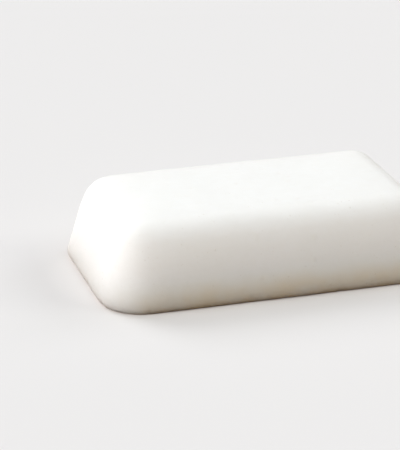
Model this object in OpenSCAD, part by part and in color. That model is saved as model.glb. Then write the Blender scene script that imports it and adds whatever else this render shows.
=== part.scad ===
// Gymnastics chalk block: one moulded bar of magnesium carbonate.
// All four sides lean inwards, the upright corners are round, and the top has a soft rim.
// Millimetres, +Z up. The origin is the middle of the underside and +X runs along the bar.

/* [Block] */
// Overall length
block_l = 97; // [72:1:120]
// Overall width
block_w = 58; // [44:1:72]
// Height from the underside to the flat top
block_h = 23.1; // [18:0.3:24]

/* [Sides] */
// How far the sides lean in for every 24 mm of height
side_lean = 7; // [3:0.5:7]
// Radius of the upright corners at the foot, seen from above
corner_r = 12; // [12:0.5:20]

/* [Edges] */
// Radius of the round where the sides meet the flat top
rim_r = 7; // [3:0.5:7]
// Radius of the small round where the sides meet the underside
foot_r = 1.5; // [1:0.5:3]

/* [Hidden] */
$fn = 120;

// Unit vector square to the leaning side, outwards and up
side_normal = [24, side_lean] / norm([24, side_lean]);
// How far the centre of the rim's arc stands inside the overall size
rim_inset = on_grid(foot_r + (rim_r - foot_r
    + (block_h - rim_r - foot_r) * side_normal.y) / side_normal.x);
// Where the axes of the round corners stand
corner_x = block_l / 2 - corner_r;
corner_y = block_w / 2 - corner_r;

// Puts a length on a 0.0001 mm grid, so that sides and corners share their edges exactly
function on_grid(v) = round(v * 10000) / 10000;

// Point where an arc of radius r about c meets the leaning side
function touch(c, r) = [for (v = c + r * side_normal) on_grid(v)];

// Upright cut through the block where it is `size` across at the foot
module section(size) {
    rim_c = [size / 2 - rim_inset, block_h - rim_r];
    foot_c = [size / 2 - foot_r, foot_r];
    right = [
        [foot_c.x, 0],
        touch(foot_c, foot_r),
        touch(rim_c, rim_r),
        [rim_c.x, block_h],
    ];
    left = [for (i = [len(right) - 1 : -1 : 0]) [-right[i].x, right[i].y]];

    polygon(concat(right, left));
    for (side = [-1, 1]) {
        translate([side * rim_c.x, rim_c.y]) circle(r = rim_r);
        translate([side * foot_c.x, foot_c.y]) circle(r = foot_r);
    }
}

// One round corner, turned about its own upright axis
module corner_post() {
    rotate_extrude()
        intersection() {
            section(2 * corner_r);
            square([corner_r, block_h]);
        }
}

module chalk_block() {
    color("whitesmoke") {
        // The long sides, between the corners
        rotate([90, 0, 90])
            linear_extrude(height = 2 * corner_x, center = true)
                section(block_w);
        // The two ends, between the corners
        rotate([90, 0, 0])
            linear_extrude(height = 2 * corner_y, center = true)
                section(block_l);
        for (x = [-corner_x, corner_x], y = [-corner_y, corner_y])
            translate([x, y, 0]) corner_post();
    }
}

chalk_block();
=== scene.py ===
"""Looks of a gymnastics chalk block: one moulded white bar on a plain pale floor.

Metres, in the CAD model's frame: +X along the bar, +Z up, origin under its middle.
"""

import math
import random

import bmesh
import bpy
import numpy as np
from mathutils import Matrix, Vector, noise


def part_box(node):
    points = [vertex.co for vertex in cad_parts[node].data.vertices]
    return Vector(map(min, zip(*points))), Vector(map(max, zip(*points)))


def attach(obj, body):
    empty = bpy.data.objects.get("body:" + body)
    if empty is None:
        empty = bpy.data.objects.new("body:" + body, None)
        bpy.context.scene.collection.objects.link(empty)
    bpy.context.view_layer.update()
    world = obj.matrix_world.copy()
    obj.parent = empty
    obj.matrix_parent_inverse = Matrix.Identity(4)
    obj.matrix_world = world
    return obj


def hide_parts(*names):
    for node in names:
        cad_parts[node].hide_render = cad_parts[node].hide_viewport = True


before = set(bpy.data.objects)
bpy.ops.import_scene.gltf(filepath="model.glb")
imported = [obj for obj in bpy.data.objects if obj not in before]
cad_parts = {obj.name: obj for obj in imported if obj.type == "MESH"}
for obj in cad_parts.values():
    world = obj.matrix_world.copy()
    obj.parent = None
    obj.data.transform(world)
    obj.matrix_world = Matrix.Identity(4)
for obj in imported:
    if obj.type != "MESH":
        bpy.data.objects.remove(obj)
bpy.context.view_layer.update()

MM = 0.001

low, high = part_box("chalk_block")
length, width, height = high - low
draws = random.Random(11)  # seeded, so that the dents are the same in every run

# The form of the bar, as the CAD model has it.
CORNER_R = 12 * MM  # upright corners at the foot, seen from above
RIM_R = 7 * MM  # round between the sides and the flat top
FOOT_R = 1.5 * MM  # small round between the sides and the underside
LEAN = math.atan2(7, 24)  # the sides lean in by 7 for every 24 of height

# How finely the bar is meshed: quads along its length, its width and up its side.
LENGTH_STEPS = 192
WIDTH_STEPS = 104
SIDE_STEPS = 64
# Points that trace the two arcs of the side, before it is divided into even steps.
FOOT_ARC_POINTS = 100
RIM_ARC_POINTS = 200
SAME_POINT = 0.001 * MM  # points of two grids that are this close become one

# How far the moulding and the handling have moved its surface, always inwards.
BOW = 0.35 * MM  # how much narrower the bar is towards its corners
HOLLOW = 0.25 * MM  # dip in the middle of the underside, where the mould was filled
WAVE = 0.22 * MM  # slow unevenness
WAVE_SIZE = 16 * MM
RIPPLE = 0.04 * MM  # quick unevenness
RIPPLE_SIZE = 3.2 * MM
RUBBED_CORNER = (-0.6, 0.45, 0.65)  # the way out to the corner that is worn most
RUB_SIZE = 8 * MM
RUB_DEPTH = 0.65 * MM

# Small dents: how many there are, the range of their radii and the range of their depths.
PITS = (70, (0.7 * MM, 1.3 * MM), (0.04 * MM, 0.16 * MM))  # air bubbles that broke at the surface
CHIPS = (36, (1 * MM, 2.2 * MM), (0.08 * MM, 0.3 * MM))  # knocks along the foot
DENTS = (14, (1.5 * MM, 4 * MM), (0.03 * MM, 0.12 * MM))  # shallow knocks along the rim
RAGGEDNESS = 0.35  # how much their radii vary round their outlines
RAGGED_SIZE = 1.3 * MM  # how long the wobbles in the outlines are
DIRTY_DEPTH = 0.2 * MM  # pits and chips this deep are as dirty as they get
WORN_SIZE = 6 * MM  # length of the worn stretches of the rim


# ---------------------------------------------------------------- the bar's form


def side_profile():
    """Insets and heights of points evenly spaced up the side: foot arc, leaning face, rim arc."""
    rise = height - RIM_R - FOOT_R
    rim_inset = FOOT_R + (RIM_R - FOOT_R + rise * math.sin(LEAN)) / math.cos(LEAN)
    foot = np.linspace(-math.pi / 2, LEAN, FOOT_ARC_POINTS)
    rim = np.linspace(LEAN, math.pi / 2, RIM_ARC_POINTS)
    inset = np.concatenate([FOOT_R * (1 - np.cos(foot)), rim_inset - RIM_R * np.cos(rim)])
    z = np.concatenate([FOOT_R * (1 + np.sin(foot)), height - RIM_R * (1 - np.sin(rim))])
    run = np.concatenate([[0], np.cumsum(np.hypot(np.diff(inset), np.diff(z)))])
    even = np.linspace(0, run[-1], SIDE_STEPS + 1)
    return np.interp(even, run, inset), np.interp(even, run, z)


def wall_row(steps, inset, straight, across):
    """One level of a side wall, from the middle of one round corner to the middle of the next.

    straight and across are the distances from the bar's middle to the corner's axis, along
    the wall and square to it. Gives the distances along the wall and out from the middle.
    """
    r = CORNER_R - inset
    share = np.linspace(-1, 1, steps + 1)
    run = np.abs(share) * (straight + r * math.pi / 4)
    turn = np.maximum(0, run - straight) / r
    along = np.sign(share) * (np.minimum(run, straight) + r * np.sin(turn))
    return along, across + r * np.cos(turn)


def wall(steps, straight, across, quarter_turns):
    """Grid of points up one side wall. The front wall has no quarter turns."""
    cosine, sine = [(1, 0), (0, 1), (-1, 0), (0, -1)][quarter_turns]
    rows = []
    for inset, z in zip(*side_profile()):
        along, out = wall_row(steps, inset, straight, across)
        x = cosine * along + sine * out
        y = sine * along - cosine * out
        rows.append(np.stack([x, y, np.full(steps + 1, z)], 1))
    return np.array(rows)


def cap(front, right, back, left):
    """Grid that fills a closed ring of four edge rows, each given in the walls' own order."""
    back, left = back[::-1], left[::-1]
    u = np.linspace(0, 1, len(front))[None, :, None]
    v = np.linspace(0, 1, len(right))[:, None, None]
    lengthwise = (1 - v) * front[None] + v * back[None]
    crosswise = (1 - u) * left[:, None] + u * right[:, None]
    corners = (1 - u) * ((1 - v) * front[0] + v * back[0]) + u * ((1 - v) * front[-1] + v * back[-1])
    return lengthwise + crosswise - corners


def add_sheet(bm, grid):
    """Adds quads through a grid of points."""
    rows = [[bm.verts.new(point) for point in row] for row in grid]
    for lower, upper in zip(rows, rows[1:]):
        for i in range(len(lower) - 1):
            bm.faces.new((lower[i], lower[i + 1], upper[i + 1], upper[i]))


def bar_mesh():
    """The bar as one closed mesh of even quads."""
    corner_x = length / 2 - CORNER_R
    corner_y = width / 2 - CORNER_R
    walls = [
        wall(LENGTH_STEPS, corner_x, corner_y, 0),
        wall(WIDTH_STEPS, corner_y, corner_x, 1),
        wall(LENGTH_STEPS, corner_x, corner_y, 2),
        wall(WIDTH_STEPS, corner_y, corner_x, 3),
    ]
    bm = bmesh.new()
    for grid in walls:
        add_sheet(bm, grid)
    add_sheet(bm, cap(*[grid[-1] for grid in walls]))
    add_sheet(bm, cap(*[grid[0] for grid in walls]))
    bmesh.ops.remove_doubles(bm, verts=bm.verts, dist=SAME_POINT)
    bmesh.ops.recalc_face_normals(bm, faces=bm.faces)
    for face in bm.faces:
        face.smooth = True
    mesh = bpy.data.meshes.new("chalk_bar")
    bm.to_mesh(mesh)
    bm.free()
    return mesh


# ---------------------------------------------------------------- traces of moulding and use


def read_vectors(vertices, name):
    """One row of three numbers for each of a mesh's vertices."""
    flat = np.empty(len(vertices) * 3, np.float32)
    vertices.foreach_get(name, flat)
    return flat.reshape(-1, 3).astype(float)


def ramp(values, start, end):
    """0 at start and 1 at end, straight between them and level beyond them."""
    return np.clip((values - start) / (end - start), 0, 1)


def smooth_noise(points, size, shift=0):
    """Noise from 0 to 1 at each point, with blobs about size across. Each shift gives another noise."""
    offset = Vector((shift, shift, shift))
    return np.array([0.5 + 0.5 * noise.noise(Vector(point) / size + offset) for point in points])


def moulded(points, normals):
    """How far the moulding left each point inside the exact form."""
    x = points[:, 0] / (length / 2)
    y = points[:, 1] / (width / 2)
    under = ramp(-normals[:, 2], 0.5, 0.9)
    bow = BOW * (x**2 * normals[:, 1] ** 2 + y**2 * normals[:, 0] ** 2)
    hollow = HOLLOW * (1 - x**2) * (1 - y**2) * under
    waves = WAVE * smooth_noise(points, WAVE_SIZE) + RIPPLE * smooth_noise(points, RIPPLE_SIZE, 7)
    return bow + hollow + waves * (1 - under)


def bowls(points, centres, radii, depths, ragged):
    """Depth at each point of a set of shallow round dents. ragged multiplies their radii at each point."""
    depth = np.zeros(len(points))
    for centre, radius, deepest in zip(centres, radii, depths):
        share = np.linalg.norm(points - centre, axis=1) / (radius * ragged)
        depth = np.maximum(depth, deepest * np.clip(1 - share**2, 0, None) ** 2)
    return depth


def scatter(points, allowed, dents, ragged):
    """Depth at each point of dents in random places, among the points where they are allowed."""
    count, radius_range, depth_range = dents
    spots = draws.choices(np.flatnonzero(allowed).tolist(), k=count)
    radii = [draws.uniform(*radius_range) for _ in spots]
    depths = [draws.uniform(*depth_range) for _ in spots]
    return bowls(points, points[spots], radii, depths, ragged)


def add_mark(mesh, name, values):
    """Stores a number from 0 to 1 at each point, for the material."""
    mark = mesh.attributes.new(name, "FLOAT", "POINT")
    mark.data.foreach_set("value", np.clip(values, 0, 1).astype(np.float32))


def weather(mesh):
    """Moves the surface inwards where it is uneven, dented or rubbed, and marks pits and worn edges."""
    points = read_vectors(mesh.vertices, "co")
    normals = read_vectors(mesh.vertices, "normal")
    up = normals[:, 2]
    ragged = 1 + RAGGEDNESS * (2 * smooth_noise(points, RAGGED_SIZE, 3) - 1)
    everywhere = np.ones(len(points), bool)
    foot = (points[:, 2] < FOOT_R) & (up > -0.9)  # without the flat underside
    rim = (points[:, 2] > height - RIM_R) & (up < 0.9)  # without the flat top
    pits = scatter(points, everywhere, PITS, ragged)
    chips = scatter(points, foot, CHIPS, ragged)
    dents = scatter(points, rim, DENTS, ragged)
    rubbed_corner = points[np.argmax(points @ np.array(RUBBED_CORNER))]
    rub = bowls(points, [rubbed_corner], [RUB_SIZE], [RUB_DEPTH], 1)
    inwards = moulded(points, normals) + pits + chips + dents + rub
    points -= normals * inwards[:, None]
    points[:, 2] = np.maximum(points[:, 2], 0)
    mesh.vertices.foreach_set("co", points.astype(np.float32).ravel())
    round_rim = ramp(up, 0.35, 0.55) * ramp(up, 0.97, 0.85)  # fading into the sides and the top
    stretches = 2.4 * smooth_noise(points, WORN_SIZE, 5) - 0.6
    add_mark(mesh, "pit", (pits + chips) / DIRTY_DEPTH)
    add_mark(mesh, "worn", round_rim * stretches)
    mesh.update()


def make_bar():
    """The bar as an object, shaped and weathered, with no material yet."""
    mesh = bar_mesh()
    weather(mesh)
    piece = bpy.data.objects.new("chalk_bar", mesh)
    bpy.context.scene.collection.objects.link(piece)
    return piece


# ---------------------------------------------------------------- materials


# The chalk's own white, what tints it, and the painted shade in its pinholes and at its foot.
WHITE = (0.953, 0.955, 0.932, 1)
CLOUD = (0.94, 0.94, 0.914, 1)
MOTTLE = (0.937, 0.934, 0.904, 1)
STREAK = (0.925, 0.921, 0.89, 1)
WORN_EDGE = (0.963, 0.964, 0.946, 1)
SPECK = (0.86, 0.84, 0.8, 1)
PIT_DUST = (0.88, 0.86, 0.82, 1)
# painted shade: darkens the pinholes, standing in for the shade inside them
PINHOLE_PAINTED_SHADE = (0.82, 0.79, 0.74, 1)
# painted shade: a warm brown that darkens the foot, standing in for shade and warm bounce light near the
# floor
FOOT_PAINTED_SHADE = (0.87, 0.7, 0.49, 1)

# How far across the blobs of each pattern are.
CLOUD_SIZE = 17 * MM
MOTTLE_SIZE = 2.4 * MM
SPECK_SIZE = 0.7 * MM
SATIN_SIZE = 11 * MM
STREAK_SIZE = 1.1 * MM
STREAK_SQUEEZE = 0.07  # their noise is squeezed by this along the bar, which draws them out
# the next two set the patches and the height of the painted warm shade at the foot
FOOT_SHADE_PATCH_SIZE = 9 * MM
FOOT_SHADE_HEIGHT = 9 * MM  # how far up from the floor the painted warm shade at the foot reaches
PINHOLE_SPACING = 1.7 * MM
PINHOLE_CLUSTER_SIZE = 12 * MM

# Size and depth of the two grains and depth of the pinholes, which are too fine for the mesh.
LUMP_SIZE = 1.5 * MM
LUMP_DEPTH = 0.08 * MM
GRAIN_SIZE = 0.28 * MM
GRAIN_DEPTH = 0.03 * MM
PINHOLE_DEPTH = 0.1 * MM

LIGHT_REACH = 22 * MM  # how far light spreads inside the chalk


def add_node(tree, kind, inputs, **settings):
    """Adds a node. inputs gives each socket a value, or the output that feeds it."""
    made = tree.nodes.new(kind)
    for name, value in settings.items():
        setattr(made, name, value)
    for name, value in inputs.items():
        if isinstance(value, bpy.types.NodeSocket):
            tree.links.new(value, made.inputs[name])
        else:
            made.inputs[name].default_value = value
    return made


def add_noise(tree, place, size, detail):
    """Noise from 0 to 1 with blobs about size across."""
    made = add_node(tree, "ShaderNodeTexNoise", {"Vector": place, "Scale": 1 / size, "Detail": detail})
    return made.outputs["Fac"]


def add_range(tree, value, start, end, low_end, high_end):
    """Turns start to end into low_end to high_end, smoothly, and holds it there outside."""
    inputs = {"Value": value, "From Min": start, "From Max": end, "To Min": low_end, "To Max": high_end}
    return add_node(tree, "ShaderNodeMapRange", inputs, interpolation_type="SMOOTHSTEP").outputs["Result"]


def add_patches(tree, place, size, detail, start, end, low_end=0, high_end=1):
    """Soft patches of noise: low_end where it is under start, high_end where it is over end."""
    return add_range(tree, add_noise(tree, place, size, detail), start, end, low_end, high_end)


def add_mix(tree, share, first, second):
    """Mixes two colours."""
    made = add_node(tree, "ShaderNodeMix", {0: share, 6: first, 7: second}, data_type="RGBA")
    return made.outputs[2]


def add_product(tree, first, second):
    """Multiplies two numbers."""
    return add_node(tree, "ShaderNodeMath", {0: first, 1: second}, operation="MULTIPLY").outputs[0]


def add_bump(tree, value, depth, strength, under=None):
    """Bumps depth high, on top of other bumps where those are given."""
    inputs = {"Height": value, "Distance": depth, "Strength": strength}
    if under is not None:
        inputs["Normal"] = under
    return add_node(tree, "ShaderNodeBump", inputs).outputs["Normal"]


def add_pinholes(tree, place):
    """Tiny holes in loose clusters, 1 at their middles and 0 between them."""
    cells = add_node(tree, "ShaderNodeTexVoronoi", {"Vector": place, "Scale": 1 / PINHOLE_SPACING})
    holes = add_range(tree, cells.outputs["Distance"], 0.08, 0.17, 1, 0)
    clusters = add_patches(tree, place, PINHOLE_CLUSTER_SIZE, 2, 0.52, 0.7)
    return add_product(tree, holes, clusters)


def add_streaks(tree, place):
    """Faint rub marks along the bar."""
    inputs = {"Vector": place, "Scale": (STREAK_SQUEEZE, 1, 1)}
    drawn_out = add_node(tree, "ShaderNodeMapping", inputs).outputs["Vector"]
    return add_patches(tree, drawn_out, STREAK_SIZE, 3, 0.4, 0.7)


def add_painted_foot_shade(tree, place):
    """How strongly the foot is painted with warm shade: most at the floor, uneven, and fading out towards
    the left end.
    """
    axes = add_node(tree, "ShaderNodeSeparateXYZ", {"Vector": place}).outputs
    near_floor = add_range(tree, axes["Z"], 0, FOOT_SHADE_HEIGHT, 1, 0)
    off_the_end = add_range(tree, axes["X"], -0.5 * length, -0.35 * length, 0.2, 1)
    patches = add_patches(tree, place, FOOT_SHADE_PATCH_SIZE, 3, 0.3, 0.7, 0.6, 1)
    return add_product(tree, add_product(tree, near_floor, off_the_end), patches)


def chalk_colour(tree, place, marks):
    """White with faint clouds, mottles and specks, whiter on worn edges and soiled in pits, with painted
    shade in the pinholes and painted warm shade at the foot.
    """
    colour = add_mix(tree, add_patches(tree, place, CLOUD_SIZE, 3, 0.35, 0.65), WHITE, CLOUD)
    tints = [
        (add_patches(tree, place, MOTTLE_SIZE, 2, 0.4, 0.6, 0, 0.5), MOTTLE),
        (add_product(tree, marks["streaks"], 0.25), STREAK),
        (add_product(tree, marks["worn"], 0.6), WORN_EDGE),
        (add_patches(tree, place, SPECK_SIZE, 1, 0.72, 0.8, 0, 0.7), SPECK),
        (add_product(tree, marks["pit"], 0.5), PIT_DUST),
        # painted shade in the pinholes
        (add_product(tree, marks["pinholes"], 0.7), PINHOLE_PAINTED_SHADE),
        # painted warm shade at the foot, darkest at the floor
        (add_painted_foot_shade(tree, place), FOOT_PAINTED_SHADE),
    ]
    for share, tint in tints:
        colour = add_mix(tree, share, colour, tint)
    return colour


def chalk_roughness(tree, place, marks):
    """Faintly satin where hands have rubbed it, and duller along worn edges and in the pits."""
    rough = add_patches(tree, place, SATIN_SIZE, 4, 0.35, 0.65, 0.58, 0.72)
    for name, change in (("streaks", -0.08), ("worn", 0.1), ("pit", 0.15)):
        inputs = {0: marks[name], 1: change, 2: rough}
        rough = add_node(tree, "ShaderNodeMath", inputs, operation="MULTIPLY_ADD").outputs[0]
    return rough


def chalk_bumps(tree, place, marks):
    """Powdery grain over slightly larger lumps, and the pinholes."""
    lumps = add_bump(tree, add_noise(tree, place, LUMP_SIZE, 2), LUMP_DEPTH, 0.6)
    grain = add_bump(tree, add_noise(tree, place, GRAIN_SIZE, 3), GRAIN_DEPTH, 0.6, lumps)
    return add_bump(tree, marks["pinholes"], -PINHOLE_DEPTH, 0.8, grain)


def chalk_material():
    """Pressed chalk: white, matte and deeply translucent, with faint marks all over it."""
    mat = bpy.data.materials.new("pressed_chalk")
    mat.use_nodes = True
    tree = mat.node_tree
    place = add_node(tree, "ShaderNodeTexCoord", {}).outputs["Object"]
    marks = {"pinholes": add_pinholes(tree, place), "streaks": add_streaks(tree, place)}
    for name in ("pit", "worn"):
        marks[name] = add_node(tree, "ShaderNodeAttribute", {}, attribute_name=name).outputs["Fac"]
    shader = tree.nodes["Principled BSDF"]
    shader.inputs["Specular IOR Level"].default_value = 0.15
    shader.inputs["Subsurface Weight"].default_value = 1
    shader.inputs["Subsurface Radius"].default_value = (1, 1, 1)  # the same for each colour
    shader.inputs["Subsurface Scale"].default_value = LIGHT_REACH
    tree.links.new(chalk_colour(tree, place, marks), shader.inputs["Base Color"])
    tree.links.new(chalk_roughness(tree, place, marks), shader.inputs["Roughness"])
    tree.links.new(chalk_bumps(tree, place, marks), shader.inputs["Normal"])
    return mat


def matte_material(name, colour):
    """One plain colour with no shine, for the ground."""
    mat = bpy.data.materials.new(name)
    mat.use_nodes = True
    shader = mat.node_tree.nodes["Principled BSDF"]
    shader.inputs["Base Color"].default_value = colour
    shader.inputs["Roughness"].default_value = 1
    shader.inputs["Specular IOR Level"].default_value = 0
    return mat


# ---------------------------------------------------------------- stage, light and camera


PALE_FLOOR = (0.8, 0.785, 0.795, 1)
BROWN_TABLE = (0.3, 0.17, 0.09, 1)
GROUND_REACH = 6  # from the bar to the ground's edges
TABLE_GAP = 0.05 * MM  # between the floor and the table top

# The room all round: its colour, how brightly it lights the bar and how bright it looks.
ROOM_WALLS = (1, 0.995, 0.98, 1)
ROOM_GLOW = 0.2
ROOM_BRIGHTNESS = 0.84

PLAIN_LIGHT = (1, 1, 1)
DAYLIGHT = (0.98, 0.99, 1)
ROOM_LIGHT = (0.98, 1, 0.95)
LAMP_SPREAD = 30  # degrees across, as the bar sees each lamp
# The lamps: degrees round from +X, degrees up, strength and colour.
LAMPS = {
    "window": (180, 12, 0.66, DAYLIGHT),
    "back": (112, 40, 0.42, DAYLIGHT),
    "front_left": (225, 40, 0.33, ROOM_LIGHT),
    "right_back": (20, 35, 0.21, PLAIN_LIGHT),
    "right_front": (340, 35, 0.25, ROOM_LIGHT),
}

# The camera: how it is turned, in degrees, and how far away it is and where it looks, in bar widths.
CAMERA_TURN = 16.94  # to the right of +Y
CAMERA_TILT = 21.28  # below level
CAMERA_DISTANCE = 10.676
AIM_RIGHT = -0.2413  # right of the origin, as the camera sees it
AIM_UP = 0.1745  # above the origin, as the camera sees it
LENS = 176  # focal length in millimetres
SENSOR = 36  # width in millimetres


def add_ground(name, depth, colour):
    """A wide flat sheet, depth below the bar's underside."""
    bm = bmesh.new()
    bmesh.ops.create_grid(bm, x_segments=4, y_segments=4, size=GROUND_REACH)
    mesh = bpy.data.meshes.new(name)
    bm.to_mesh(mesh)
    bm.free()
    ground = bpy.data.objects.new(name, mesh)
    ground.location.z = -depth
    ground.data.materials.append(matte_material(name, colour))
    bpy.context.scene.collection.objects.link(ground)
    return ground


def make_stage():
    """A pale floor, over the brown table top that the light on the bar is reflected from.

    The floor is only there to be looked at: light passes through it to the table and back.
    """
    floor = add_ground("floor", 0, PALE_FLOOR)
    floor.visible_diffuse = False
    floor.visible_glossy = False
    floor.visible_transmission = False
    floor.visible_shadow = False
    add_ground("table_top", TABLE_GAP, BROWN_TABLE)


def add_lamp(name, turn, lift, strength, colour):
    """A broad soft light from far away, turn degrees round from +X and lift degrees up."""
    turn, lift = math.radians(turn), math.radians(lift)
    towards = Vector((math.cos(turn) * math.cos(lift), math.sin(turn) * math.cos(lift), math.sin(lift)))
    data = bpy.data.lights.new(name, "SUN")
    data.color = colour
    data.energy = strength * math.pi
    data.angle = math.radians(LAMP_SPREAD)
    lamp = bpy.data.objects.new(name, data)
    lamp.rotation_euler = (-towards).to_track_quat("-Z", "Y").to_euler()
    bpy.context.scene.collection.objects.link(lamp)


def light_the_scene():
    """The lamps, in a pale room that looks brighter to the camera than to the bar."""
    world = bpy.data.worlds.new("studio")
    world.use_nodes = True
    tree = world.node_tree
    seen = add_node(tree, "ShaderNodeLightPath", {}).outputs["Is Camera Ray"]
    background = tree.nodes["Background"]
    background.inputs["Color"].default_value = ROOM_WALLS
    tree.links.new(add_range(tree, seen, 0, 1, ROOM_GLOW, ROOM_BRIGHTNESS), background.inputs["Strength"])
    bpy.context.scene.world = world
    for name, lamp in LAMPS.items():
        add_lamp(name, *lamp)


def make_camera():
    """The camera, above the front and a little to its left, with the horizon level."""
    turn, tilt = math.radians(CAMERA_TURN), math.radians(CAMERA_TILT)
    ahead = Vector((math.sin(turn) * math.cos(tilt), math.cos(turn) * math.cos(tilt), -math.sin(tilt)))
    right = Vector((math.cos(turn), -math.sin(turn), 0))
    up = right.cross(ahead)
    aim = width * (AIM_RIGHT * right + AIM_UP * up)
    data = bpy.data.cameras.new("camera")
    data.lens = LENS
    data.sensor_width = SENSOR
    data.clip_start = 0.01
    camera = bpy.data.objects.new("camera", data)
    camera.location = aim - CAMERA_DISTANCE * width * ahead
    camera.rotation_euler = ahead.to_track_quat("-Z", "Y").to_euler()
    bpy.context.scene.collection.objects.link(camera)
    bpy.context.scene.camera = camera


bar = make_bar()
bar.data.materials.append(chalk_material())
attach(bar, "root")
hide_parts("chalk_block")

make_stage()
light_the_scene()
make_camera()
bpy.context.scene.view_settings.view_transform = "Standard"
